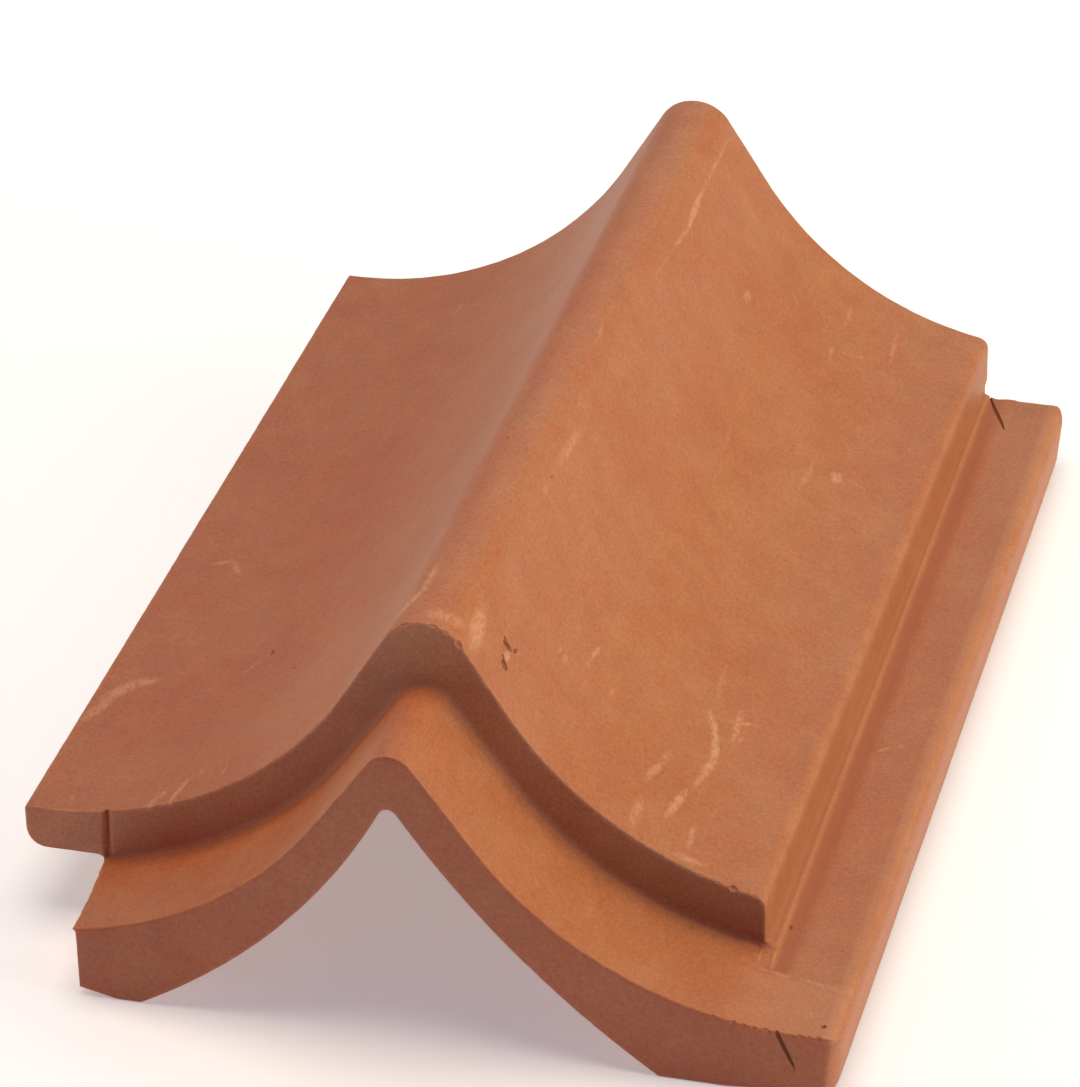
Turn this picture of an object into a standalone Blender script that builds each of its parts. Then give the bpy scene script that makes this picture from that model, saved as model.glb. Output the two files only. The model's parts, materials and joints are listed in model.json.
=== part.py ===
# Clay ridge tile, pressed in one piece: a rounded crest with a hollow wing on each side,
# over an open arch that runs from end to end.
# The lower layer runs on as a tongue in front and as a ledge along the right side.
# The upper layer overhangs the body as a lip along the left side.
# The crest runs along Y over x = 0, the tongue points to -Y and the feet stand on z = 0.

import math

import bmesh
import bpy

# Driving dimensions, in metres and degrees.
tile_length = 0.400
tongue_length = 0.040
ledge_end_gap = 0.0085          # the ledge stops this short of the tile's back end

body_left_reach = 0.108         # crest line to the upright left side under the lip
tongue_left_draft = 0.004       # the tongue narrows by this at its tip
tongue_side_step = 0.0005       # the tongue's left side stands in from the body's by this
lip_width = 0.0256              # lip's overhang past the body's left side
lip_underside_height = 0.0252   # over the ledge of the next tile
lip_nose_radius = 0.007
lip_root_radius = 0.002
step_reach = 0.1077             # crest line to the upright side above the ledge
step_arris_radius = 0.0042
cove_radius = 0.0030            # hollow at the foot of that side
cove_lip_height = 0.0010        # the cove's foot stands proud of the ledge by this
ledge_width = 0.0313            # upright side to the ledge's outer side, at its top
ledge_side_draft = 0.0030       # the outer side runs in by this down to the foot
ledge_height = 0.0237
ledge_arris_radius = 0.0040
gutter_depth = 0.0005           # the ledge dips by this beside the cove
gutter_width = 0.012

crest_height = 0.1274
crest_radius = 0.0144
crest_flank_angle = 58.3
crest_flank_length = 0.0266
wing_edge_height = 0.0407

tongue_edge_height = 0.0231     # level of the tongue's sides, a touch under the ledge
tongue_crest_height = 0.1047
tongue_crest_radius = 0.0085
tongue_flank_angle = 54.4
tongue_flank_length = 0.033

arch_height = 0.082
arch_crest_radius = 0.0067
arch_flank_angle = 58.6
arch_half_span = 0.0838         # crest line to each foot's inner edge
left_foot_land = 0.008          # flat that the tile stands on, from each inner edge
right_foot_land = 0.018
left_foot_rise = 0.0028         # the feet rise by this from the land to their outer edge
right_foot_rise = 0.0024

end_arris_width = 0.0014        # soft edge of the tongue, the shoulder and the back end

# Fineness of the curves, reach of the cutters past the tile, weld after each cut, and which
# faces count as ends or as tops.
crest_steps = 10
wing_steps = 20
arch_steps = 16
corner_steps = 4
arris_segments = 2
clear_margin = 0.010
weld_distance = 0.00002
sharp_angle = 32
end_face_slope = 0.9            # a face whose normal has at least this much of Y is an end face
upward_slope = 0.3              # and one whose normal has at least this much of Z looks up

front_y = -tile_length / 2
back_y = tile_length / 2
shoulder_y = front_y + tongue_length
ledge_back_y = back_y - ledge_end_gap
lip_reach = body_left_reach + lip_width
ledge_reach = step_reach + ledge_width
ledge_foot_reach = ledge_reach - ledge_side_draft
cove_reach = step_reach + cove_radius
cove_top_height = ledge_height + cove_lip_height + cove_radius

upper_surface = {
    "crest": crest_height,
    "radius": crest_radius,
    "angle": math.radians(crest_flank_angle),
    "flank": crest_flank_length,
    "edge": wing_edge_height,
}
tongue_surface = {
    "crest": tongue_crest_height,
    "radius": tongue_crest_radius,
    "angle": math.radians(tongue_flank_angle),
    "flank": tongue_flank_length,
    "edge": tongue_edge_height,
}


# Sections, as (x, z) points.

def wing_arc(surface):
    """Where a surface's flank ends, and the radius of the hollow wing that carries on from it."""
    angle = surface["angle"]
    x = surface["radius"] * math.sin(angle) + surface["flank"] * math.cos(angle)
    drop = surface["radius"] * (1 - math.cos(angle)) + surface["flank"] * math.sin(angle)
    z = surface["crest"] - drop
    return x, z, (z - surface["edge"]) / (1 - math.cos(angle))


def surface_height(surface, x):
    """Height of a crested surface at a distance x from the crest line."""
    radius = surface["radius"]
    angle = surface["angle"]
    flank_x, flank_z, wing_radius = wing_arc(surface)
    if x <= radius * math.sin(angle):
        return surface["crest"] - radius + math.sqrt(radius ** 2 - x ** 2)
    if x <= flank_x:
        return flank_z + (flank_x - x) * math.tan(angle)
    to_level = max(flank_x + wing_radius * math.sin(angle) - x, 0)
    return surface["edge"] + wing_radius - math.sqrt(wing_radius ** 2 - to_level ** 2)


def surface_points(surface, reach, clear=0):
    """A crested surface out to x = reach: round crest, flank, hollow wing.

    A corner at the reach that gets rounded keeps the last stretch, clear long, free of points.
    """
    angle = surface["angle"]
    flank_x, _, wing_radius = wing_arc(surface)
    level_x = flank_x + wing_radius * math.sin(angle)
    stations = []
    for i in range(crest_steps + 1):
        stations.append(surface["radius"] * math.sin(angle * i / crest_steps))
    for i in range(wing_steps + 1):
        stations.append(level_x - wing_radius * math.sin(angle * (1 - i / wing_steps)))
    half_spacing = wing_radius * angle / wing_steps / 2
    kept = [x for x in stations if x < reach - max(half_spacing, clear)]
    return [(x, surface_height(surface, x)) for x in kept + [reach]]


def arch_points():
    """The arch from its top out to the right foot's inner edge, round at the top."""
    angle = math.radians(arch_flank_angle)
    start_x = arch_crest_radius * math.sin(angle)
    start_z = arch_height - arch_crest_radius * (1 - math.cos(angle))
    chord = math.hypot(arch_half_span - start_x, start_z)
    chord_angle = math.atan2(start_z, arch_half_span - start_x)
    radius = chord / (2 * math.sin(angle - chord_angle))
    centre_x = start_x + radius * math.sin(angle)
    centre_z = start_z + radius * math.cos(angle)
    points = []
    for i in range(corner_steps):
        turn = angle * i / corner_steps
        drop = arch_crest_radius * (1 - math.cos(turn))
        points.append((arch_crest_radius * math.sin(turn), arch_height - drop))
    for i in range(arch_steps + 1):
        turn = angle - 2 * (angle - chord_angle) * i / arch_steps
        points.append((centre_x - radius * math.sin(turn), centre_z - radius * math.cos(turn)))
    return points


def mirrored(points):
    """Points on the other side of the crest line, in the order that leads up to it."""
    return [(-x, z) for x, z in reversed(points) if x > 0]


def rounded_corner(before, corner, after, radius):
    """The arc that rounds the corner between two straight runs."""
    to_before = math.atan2(before[1] - corner[1], before[0] - corner[0])
    to_after = math.atan2(after[1] - corner[1], after[0] - corner[0])
    opening = (to_after - to_before + math.pi) % (2 * math.pi) - math.pi
    setback = radius / math.tan(abs(opening) / 2)
    middle = to_before + opening / 2
    reach = math.hypot(setback, radius)
    centre = (corner[0] + reach * math.cos(middle), corner[1] + reach * math.sin(middle))
    start = (corner[0] + setback * math.cos(to_before), corner[1] + setback * math.sin(to_before))
    first = math.atan2(start[1] - centre[1], start[0] - centre[0])
    sweep = math.copysign(math.pi - abs(opening), -opening)
    points = []
    for i in range(corner_steps + 1):
        turn = first + sweep * i / corner_steps
        points.append((centre[0] + radius * math.cos(turn), centre[1] + radius * math.sin(turn)))
    return points


def right_side():
    """The right side from the crest down: wing, arris, upright side, cove, ledge, outer side.

    The ledge's gutter is deepest a quarter of the way across.
    """
    gutter_x = cove_reach + gutter_width / 4
    arris_room = 1.5 * step_arris_radius
    wing = surface_points(upper_surface, step_reach, arris_room)
    points = wing[:-1]
    points += rounded_corner(wing[-2], wing[-1], (step_reach, cove_top_height), step_arris_radius)
    for i in range(corner_steps + 1):
        turn = math.pi / 2 * i / corner_steps
        x = cove_reach - cove_radius * math.cos(turn)
        z = cove_top_height - cove_radius * math.sin(turn)
        points.append((x, z))
    points.append((gutter_x, ledge_height - gutter_depth))
    points.append((cove_reach + gutter_width, ledge_height))
    points += rounded_corner(
        (cove_reach, ledge_height),
        (ledge_reach, ledge_height),
        (ledge_foot_reach, right_foot_rise),
        ledge_arris_radius,
    )
    points.append((ledge_foot_reach, right_foot_rise))
    return points


def left_side():
    """The left side from the foot up: upright side, rounded root, lip's underside and nose."""
    root_x = -body_left_reach - lip_root_radius
    points = [(-body_left_reach, left_foot_rise)]
    for i in range(corner_steps + 1):
        turn = math.pi / 2 * i / corner_steps
        x = root_x + lip_root_radius * math.cos(turn)
        z = lip_underside_height - lip_root_radius * (1 - math.sin(turn))
        points.append((x, z))
    points += rounded_corner(
        (root_x, lip_underside_height),
        (-lip_reach, lip_underside_height),
        (-lip_reach, wing_edge_height),
        lip_nose_radius,
    )
    return points


def tile_outline():
    """The tile's section behind the shoulder, clockwise from the lip's upper edge."""
    arch = arch_points()
    points = mirrored(surface_points(upper_surface, lip_reach))
    points += right_side()
    points.append((arch_half_span + right_foot_land, 0))
    points += reversed(arch)
    points += reversed(mirrored(arch))
    points.append((-arch_half_span - left_foot_land, 0))
    points += left_side()
    return points


def clear_of_tongue_outline():
    """Everything over the tongue's surface and on its left, out past the tile."""
    reach = ledge_reach + clear_margin
    top = crest_height + clear_margin
    tongue_left = surface_points(tongue_surface, body_left_reach - tongue_side_step)
    points = [(-tongue_left[-1][0], -clear_margin)]
    points += mirrored(tongue_left)
    points += surface_points(tongue_surface, reach)
    points += [(reach, top), (-reach, top), (-reach, -clear_margin)]
    return points


# Blender objects.

def collection_named(name):
    """A new collection in the scene."""
    collection = bpy.data.collections.new(name)
    bpy.context.scene.collection.children.link(collection)
    return collection


def extruded_outline(name, outline, start_y, end_y, collection):
    """A flat outline in the XZ plane, drawn as a 2D curve and extruded from start_y to end_y."""
    curve = bpy.data.curves.new(name + "_outline", "CURVE")
    curve.dimensions = "2D"
    curve.fill_mode = "BOTH"
    curve.extrude = (end_y - start_y) / 2
    spline = curve.splines.new("POLY")
    spline.points.add(len(outline) - 1)
    for point, (x, z) in zip(spline.points, outline):
        point.co = (x, z, 0, 1)
    spline.use_cyclic_u = True
    drawn = bpy.data.objects.new(name + "_outline", curve)
    drawn.location.y = (start_y + end_y) / 2
    drawn.rotation_euler.x = math.radians(90)
    collection.objects.link(drawn)
    bpy.context.view_layer.update()

    evaluated = drawn.evaluated_get(bpy.context.evaluated_depsgraph_get())
    mesh = bpy.data.meshes.new_from_object(evaluated)
    mesh.transform(drawn.matrix_world)
    work = bmesh.new()
    work.from_mesh(mesh)
    bmesh.ops.remove_doubles(work, verts=work.verts, dist=weld_distance / 2)
    bmesh.ops.recalc_face_normals(work, faces=work.faces)
    for end in (-1, 1):
        cap = [face for face in work.faces if face.normal.y * end > end_face_slope]
        bmesh.ops.dissolve_faces(work, faces=cap)
    work.to_mesh(mesh)
    work.free()
    solid = bpy.data.objects.new(name, mesh)
    collection.objects.link(solid)
    bpy.data.objects.remove(drawn)
    return solid


def block(name, corner_low, corner_high, collection):
    """A box between two corners."""
    mesh = bpy.data.meshes.new(name)
    work = bmesh.new()
    bmesh.ops.create_cube(work, size=1)
    for vertex in work.verts:
        for axis in range(3):
            share = vertex.co[axis] + 0.5
            vertex.co[axis] = corner_low[axis] + share * (corner_high[axis] - corner_low[axis])
    work.to_mesh(mesh)
    work.free()
    solid = bpy.data.objects.new(name, mesh)
    collection.objects.link(solid)
    return solid


def cut(tile, cutter):
    """Takes a cutter away from the tile, and welds what the cut leaves closer than a hair."""
    cutter.hide_render = True
    cutter.display_type = "WIRE"
    modifier = tile.modifiers.new(cutter.name, "BOOLEAN")
    modifier.operation = "DIFFERENCE"
    modifier.solver = "EXACT"
    modifier.object = cutter
    weld = tile.modifiers.new(cutter.name + "_weld", "WELD")
    weld.merge_threshold = weld_distance


def ledge_end_cutter(collection):
    """A box over the ledge's last stretch, which ends short of the tile's back end."""
    return block(
        "ledge_end_cutter",
        (step_reach, ledge_back_y, -clear_margin),
        (ledge_reach + clear_margin, back_y + clear_margin, cove_top_height + cove_radius),
        collection,
    )


def clear_of_tongue_cutter(collection):
    """All that is over and beside the tongue, from in front of the tile to the shoulder."""
    return extruded_outline(
        "clear_of_tongue_cutter",
        clear_of_tongue_outline(),
        front_y - clear_margin,
        shoulder_y,
        collection,
    )


def tongue_draft_cutter(collection):
    """A box turned on the corner by the shoulder, so that the tongue narrows towards its tip."""
    cutter = block(
        "tongue_draft_cutter",
        (-tongue_length, -2 * tongue_length, -clear_margin),
        (0, tongue_side_step, tongue_crest_height),
        collection,
    )
    cutter.location = (-body_left_reach + tongue_side_step, shoulder_y - 2 * tongue_side_step, 0)
    cutter.rotation_euler.z = -math.atan2(tongue_left_draft, tongue_length)
    return cutter


def apply_modifiers(tile):
    """Makes the tile's own mesh the one that its modifiers give."""
    evaluated = tile.evaluated_get(bpy.context.evaluated_depsgraph_get())
    mesh = bpy.data.meshes.new_from_object(evaluated)
    tile.modifiers.clear()
    tile.data = mesh


def is_end_arris(edge):
    """Tells whether an edge lies between an end face and a surface that looks up.

    The short edges where the shoulder meets the tongue's sides stay as they are.
    """
    end, surface = sorted(edge.link_faces, key=lambda face: -abs(face.normal.y))
    beside_shoulder = all(
        abs(vertex.co.y - shoulder_y) < 2 * tongue_side_step and vertex.co.z < cove_top_height
        for vertex in edge.verts
    )
    is_end = abs(end.normal.y) > end_face_slope
    return is_end and surface.normal.z > upward_slope and not beside_shoulder


def soften_end_arrises(tile):
    """Rounds the upper edges of the tongue's tip, the shoulder and the back end."""
    work = bmesh.new()
    work.from_mesh(tile.data)
    bmesh.ops.bevel(
        work,
        geom=[edge for edge in work.edges if is_end_arris(edge)],
        offset=end_arris_width,
        offset_type="OFFSET",
        segments=arris_segments,
        profile=0.5,
        affect="EDGES",
        clamp_overlap=False,
    )
    bmesh.ops.remove_doubles(work, verts=work.verts, dist=weld_distance)
    work.to_mesh(tile.data)
    work.free()


def clay():
    """Matt fired clay, orange-tan."""
    material = bpy.data.materials.new("terracotta")
    material.use_nodes = True
    shader = material.node_tree.nodes["Principled BSDF"]
    shader.inputs["Base Color"].default_value = (0.46, 0.165, 0.075, 1)
    shader.inputs["Roughness"].default_value = 0.82
    shader.inputs["Metallic"].default_value = 0
    return material


def ridge_tile(parts, cutters):
    """The whole tile: its full section from end to end, less what the three cutters take."""
    tile = extruded_outline("ridge_tile", tile_outline(), front_y, back_y, parts)
    cut(tile, clear_of_tongue_cutter(cutters))
    cut(tile, tongue_draft_cutter(cutters))
    cut(tile, ledge_end_cutter(cutters))
    bpy.context.view_layer.update()
    apply_modifiers(tile)
    soften_end_arrises(tile)
    tile.data.shade_smooth()
    tile.data.set_sharp_from_angle(angle=math.radians(sharp_angle))
    tile.data.materials.append(clay())
    return tile


for old in list(bpy.data.objects):
    bpy.data.objects.remove(old)
ridge_tile(collection_named("clay_ridge_tile"), collection_named("cutters"))
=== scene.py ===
# Clay ridge tile: the fine surface of the pressed and fired clay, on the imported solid's own sizes.
# Metres and degrees. The crest runs along Y over x = 0, the tongue points to -Y and the feet stand
# on z = 0.

import json
import math

import bmesh
import bpy
import numpy as np
from mathutils import Matrix, Vector
from mathutils.bvhtree import BVHTree


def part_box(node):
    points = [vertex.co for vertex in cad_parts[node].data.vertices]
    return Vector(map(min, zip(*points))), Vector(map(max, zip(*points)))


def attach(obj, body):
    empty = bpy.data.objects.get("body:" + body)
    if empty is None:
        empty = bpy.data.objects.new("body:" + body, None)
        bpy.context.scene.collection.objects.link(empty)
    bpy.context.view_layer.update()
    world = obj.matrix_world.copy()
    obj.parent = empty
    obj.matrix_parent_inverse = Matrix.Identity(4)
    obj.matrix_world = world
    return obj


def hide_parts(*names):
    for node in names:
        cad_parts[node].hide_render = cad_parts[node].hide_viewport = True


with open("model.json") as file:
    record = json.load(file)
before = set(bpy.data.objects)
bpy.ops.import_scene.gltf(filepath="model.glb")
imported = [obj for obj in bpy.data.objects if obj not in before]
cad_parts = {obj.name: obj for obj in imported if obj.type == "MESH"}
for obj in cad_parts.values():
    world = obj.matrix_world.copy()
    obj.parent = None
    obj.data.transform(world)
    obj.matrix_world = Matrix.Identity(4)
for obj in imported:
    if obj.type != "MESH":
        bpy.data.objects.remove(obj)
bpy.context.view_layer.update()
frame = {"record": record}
print("frame loaded")

tileLow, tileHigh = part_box("ridge_tile")
mounts = {mount["name"]: mount["pos_m"] for mount in frame["record"]["mounts"]}
frontY = tileLow.y
backY = tileHigh.y
shoulderY = mounts["shoulder_face"][1]
lipX = tileLow.x
ledgeX = tileHigh.x
crestZ = tileHigh.z
ledgeZ = mounts["ledge_top"][2]
lipUndersideZ = mounts["lip_underside"][2]


def deselectAll():
    if bpy.context.mode != "OBJECT":
        bpy.ops.object.mode_set(mode="OBJECT")
    bpy.ops.object.select_all(action="DESELECT")


def makeActive(piece):
    deselectAll()
    piece.select_set(True)
    bpy.context.view_layer.objects.active = piece


def selectVerts(wanted):
    mesh = bmesh.from_edit_mesh(bpy.context.edit_object.data)
    bpy.ops.mesh.select_all(action="DESELECT")
    for vert in mesh.verts:
        vert.select = wanted(vert)
    mesh.select_flush(True)
    bmesh.update_edit_mesh(bpy.context.edit_object.data)


def applyModifier(piece, kind, **settings):
    makeActive(piece)
    modifier = piece.modifiers.new(kind.lower(), kind)
    for name, value in settings.items():
        setattr(modifier, name, value)
    bpy.ops.object.modifier_apply(modifier=modifier.name)


# The pen draws a section in the XZ plane: runs are extruded and bends are spun from the last vertex.

class Pen:
    step = 0.0015

    def __init__(self, name, x, z, y, heading=0):
        deselectAll()
        bpy.ops.mesh.primitive_plane_add(size=self.step, location=(x, y, z))
        bpy.ops.object.transform_apply(location=True)
        self.piece = bpy.context.active_object
        self.piece.name = name
        bpy.ops.object.mode_set(mode="EDIT")
        bpy.ops.mesh.merge(type="CENTER")
        self.x, self.z, self.y, self.heading = x, z, y, math.radians(heading)

    def extrude(self, *way):
        bpy.ops.mesh.extrude_region_move(TRANSFORM_OT_translate={"value": way})

    def run(self, length):
        across, up = length * math.cos(self.heading), length * math.sin(self.heading)
        self.extrude(across, 0, up)
        self.x, self.z = self.x + across, self.z + up

    def runTo(self, x, z):
        self.extrude(x - self.x, 0, z - self.z)
        self.x, self.z = x, z

    def bend(self, radius, degrees):
        # Left for a positive angle, right for a negative one.
        angle = math.radians(degrees)
        side = math.copysign(radius, angle)
        centreX = self.x - side * math.sin(self.heading)
        centreZ = self.z + side * math.cos(self.heading)
        steps = max(3, math.ceil(radius * abs(angle) / self.step))
        bpy.ops.mesh.spin(steps=steps, angle=angle, center=(centreX, self.y, centreZ), axis=(0, 1, 0))
        self.heading += angle
        self.x = centreX + side * math.sin(self.heading)
        self.z = centreZ - side * math.cos(self.heading)

    def makeSolid(self, *lengths):
        # Fills the section and extrudes it along the tile, once for each length.
        bpy.ops.mesh.select_all(action="SELECT")
        bpy.ops.mesh.remove_doubles(threshold=0.00001)
        bpy.ops.mesh.edge_face_add()
        for length in lengths:
            self.extrude(0, length, 0)
        bpy.ops.mesh.select_all(action="SELECT")
        bpy.ops.mesh.normals_make_consistent(inside=False)
        return self.piece


# A crested surface: hollow wing, flank, rounded crest, flank, hollow wing.
topForm = {"crest": crestZ, "radius": 0.0144, "slope": 58.3, "flank": 0.0266, "edge": 0.0407}
tongueForm = {"crest": 0.1047, "radius": 0.0085, "slope": 54.4, "flank": 0.033, "edge": 0.0231}
tileForm = {
    "bodyX": 0.108,  # crest line to the left side, under the lip
    "tongueDraft": 0.004,  # the tongue's left side runs in by this at its tip
    "lipNose": 0.007,
    "lipRoot": 0.002,
    "stepX": 0.1077,  # crest line to the upright side over the ledge
    "stepArris": 0.0042,
    "cove": 0.0022,
    "coveLip": 0.001,  # the cove's foot stands this high over the ledge
    "ledgeArris": 0.0040,
    "ledgeLean": 5.5,  # the ledge's outer side leans in below its arris
    "ledgeFootX": 0.1367,
    "ledgeGap": 0.0085,  # the ledge ends this short of the back
    "archTip": (-0.0010, 0.0822),  # centre of the arch's rounded top
    "archRadius": 0.0028,
    "archSlopes": (56.5, 62.6),  # right and left of the top
    "archFeet": (0.0818, 0.0838),  # crest line to the right and the left foot
    "leftFoot": (0.0918, 0.0028),  # outer end of the foot's flat, and how far it rises beyond it
    "rightFoot": (0.1018, 0.0024),
    "core": 0.009,  # the upper layer's underside lies this deep in the lower layer
    "clear": 0.01,  # a cutter reaches this far past the clay
    "near": 0.001,  # a vertex this near to a place counts as on it
}


def wingOf(form):
    # The hollow wing's radius, and how far from the crest line it is level.
    slope = math.radians(form["slope"])
    flankX = form["radius"] * math.sin(slope) + form["flank"] * math.cos(slope)
    flankZ = form["crest"] - form["radius"] * (1 - math.cos(slope)) - form["flank"] * math.sin(slope)
    radius = (flankZ - form["edge"]) / (1 - math.cos(slope))
    return radius, flankX + radius * math.sin(slope)


def wingAt(form, x):
    # The wing's slope and height at a distance x from the crest line.
    radius, levelX = wingOf(form)
    slope = math.asin((levelX - x) / radius)
    return math.degrees(slope), form["edge"] + radius * (1 - math.cos(slope))


def drawCrested(pen, form, startSlope=0, endSlope=0, side=1):
    # From one wing over the crest to the other; side is -1 when drawn from right to left.
    wing = wingOf(form)[0]
    slope = form["slope"]
    pen.bend(wing, side * (slope - startSlope))
    pen.run(form["flank"])
    pen.bend(form["radius"], -side * 2 * slope)
    pen.run(form["flank"])
    pen.bend(wing, side * (slope - endSlope))


def drawArch(pen):
    # From the right foot's inner edge over to the left one.
    f = tileForm
    radius = f["archRadius"]
    flanks = []
    for side, slope, foot in zip((1, -1), f["archSlopes"], f["archFeet"]):
        lean = math.radians(slope)
        across = foot - side * f["archTip"][0] - radius * math.sin(lean)
        rise = f["archTip"][1] + radius * math.cos(lean)
        half = lean - math.atan2(rise, across)
        flanks.append((math.hypot(rise, across) / (2 * math.sin(half)), 2 * math.degrees(half)))
    (rightRadius, rightBend), (leftRadius, leftBend) = flanks
    pen.heading = math.radians(180 - f["archSlopes"][0] + rightBend)
    pen.bend(rightRadius, -rightBend)
    pen.bend(radius, sum(f["archSlopes"]))
    pen.bend(leftRadius, -leftBend)


def lowerLayer():
    # Tongue and ledge above, feet and arch below, along the whole tile.
    f = tileForm
    startSlope, startZ = wingAt(tongueForm, f["bodyX"])
    pen = Pen("lowerLayer", -f["bodyX"], startZ, frontY, startSlope)
    drawCrested(pen, tongueForm, startSlope)
    pen.runTo(ledgeX - f["ledgeArris"], tongueForm["edge"])
    pen.bend(f["ledgeArris"], -90 - f["ledgeLean"])
    pen.runTo(f["ledgeFootX"], f["rightFoot"][1])
    pen.runTo(f["rightFoot"][0], 0)
    pen.runTo(f["archFeet"][0], 0)
    drawArch(pen)
    pen.runTo(-f["leftFoot"][0], 0)
    pen.runTo(-f["bodyX"], f["leftFoot"][1])
    pen.runTo(-f["bodyX"], startZ)
    piece = pen.makeSolid(shoulderY - frontY, backY - shoulderY)
    near = f["near"]
    selectVerts(lambda v: v.co.y < frontY + near and v.co.x < -f["bodyX"] + near)
    bpy.ops.transform.translate(value=(f["tongueDraft"], 0, 0))
    return piece


def upperLayer():
    # Wings, lip and the upright side over the ledge, behind the shoulder.
    f = tileForm
    wing, levelX = wingOf(topForm)
    arris = f["stepArris"]
    endSlope = math.degrees(math.asin((levelX + arris - f["stepX"]) / (wing + arris)))
    pen = Pen("upperLayer", -levelX, topForm["edge"], shoulderY)
    drawCrested(pen, topForm, 0, endSlope)
    pen.bend(arris, endSlope - 90)
    pen.runTo(f["stepX"], ledgeZ + f["coveLip"] + f["cove"])
    pen.bend(f["cove"], 90)
    coreForm = dict(tongueForm)
    for level in ("crest", "edge"):
        coreForm[level] -= f["core"]
    coreX = f["bodyX"] - f["coveLip"]
    coreSlope, coreZ = wingAt(coreForm, coreX)
    pen.runTo(pen.x, coreZ)
    pen.runTo(coreX, coreZ)
    pen.heading = math.radians(180 - coreSlope)
    drawCrested(pen, coreForm, coreSlope, coreSlope, side=-1)
    pen.runTo(-coreX, lipUndersideZ - f["lipRoot"])
    pen.runTo(-f["bodyX"], lipUndersideZ - f["lipRoot"])
    pen.heading = math.radians(90)
    pen.bend(f["lipRoot"], 90)
    pen.runTo(lipX + f["lipNose"], lipUndersideZ)
    pen.bend(f["lipNose"], -90)
    pen.runTo(lipX, topForm["edge"])
    pen.runTo(-levelX, topForm["edge"])
    return pen.makeSolid(backY - shoulderY)


def cutAway(piece, low, high):
    # Takes a box between two corners away from a piece.
    deselectAll()
    middle = [(a + b) / 2 for a, b in zip(low, high)]
    bpy.ops.mesh.primitive_cube_add(size=1, location=middle)
    bpy.ops.transform.resize(value=[b - a for a, b in zip(low, high)])
    cutter = bpy.context.active_object
    applyModifier(piece, "BOOLEAN", object=cutter, operation="DIFFERENCE", solver="EXACT")
    bpy.data.objects.remove(cutter)


def joined(name, *pieces):
    deselectAll()
    for piece in pieces:
        piece.select_set(True)
    bpy.context.view_layer.objects.active = pieces[0]
    bpy.ops.object.join()
    pieces[0].name = name
    return pieces[0]


def sidesOf(*layers):
    # Faces along the tile whose upward part lies between two limits, for a nearest-place search.
    # They are sorted by place, because a cutter leaves faces and vertices in a changing order.
    rings = []
    for piece, lowest, highest in layers:
        for face in piece.data.polygons:
            if abs(face.normal.y) < 0.5 and lowest <= face.normal.z <= highest:
                ring = [tuple(piece.data.vertices[index].co) for index in face.vertices]
                first = ring.index(min(ring))
                rings.append(ring[first:] + ring[:first])
    corners, faces = [], []
    for ring in sorted(rings):
        faces.append(list(range(len(corners), len(corners) + len(ring))))
        corners += ring
    return BVHTree.FromPolygons(corners, faces)


def levelAt(form, x):
    # Height and outward normal of a crested surface at a distance x from the crest line.
    slope = math.radians(form["slope"])
    wing, levelX = wingOf(form)
    crestEdge = form["radius"] * math.sin(slope)
    flankEdge = crestEdge + form["flank"] * math.cos(slope)
    away = min(abs(x), levelX)
    if away < crestEdge:
        tilt = math.asin(away / form["radius"])
        z = form["crest"] - form["radius"] * (1 - math.cos(tilt))
    elif away < flankEdge:
        tilt = slope
        crestFall = form["radius"] * (1 - math.cos(slope))
        z = form["crest"] - crestFall - (away - crestEdge) * math.tan(slope)
    else:
        tilt = math.asin((levelX - away) / wing)
        z = form["edge"] + wing * (1 - math.cos(tilt))
    return z, Vector((math.copysign(math.sin(tilt), x), 0, math.cos(tilt)))


def readArray(items, field, width=1, kind=np.float32):
    values = np.empty(width * len(items), dtype=kind)
    items.foreach_get(field, values)
    return values.reshape(-1, width) if width > 1 else values


def readPoints(piece):
    return readArray(piece.data.vertices, "co", 3).astype(float)


def readNormals(piece):
    return readArray(piece.data.vertex_normals, "vector", 3).astype(float)


def writePoints(piece, points):
    piece.data.vertices.foreach_set("co", points.astype(np.float32).ravel())
    piece.data.update()


def eased(value, low, high):
    share = np.clip((value - low) / (high - low), 0, 1)
    return share * share * (3 - 2 * share)


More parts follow.
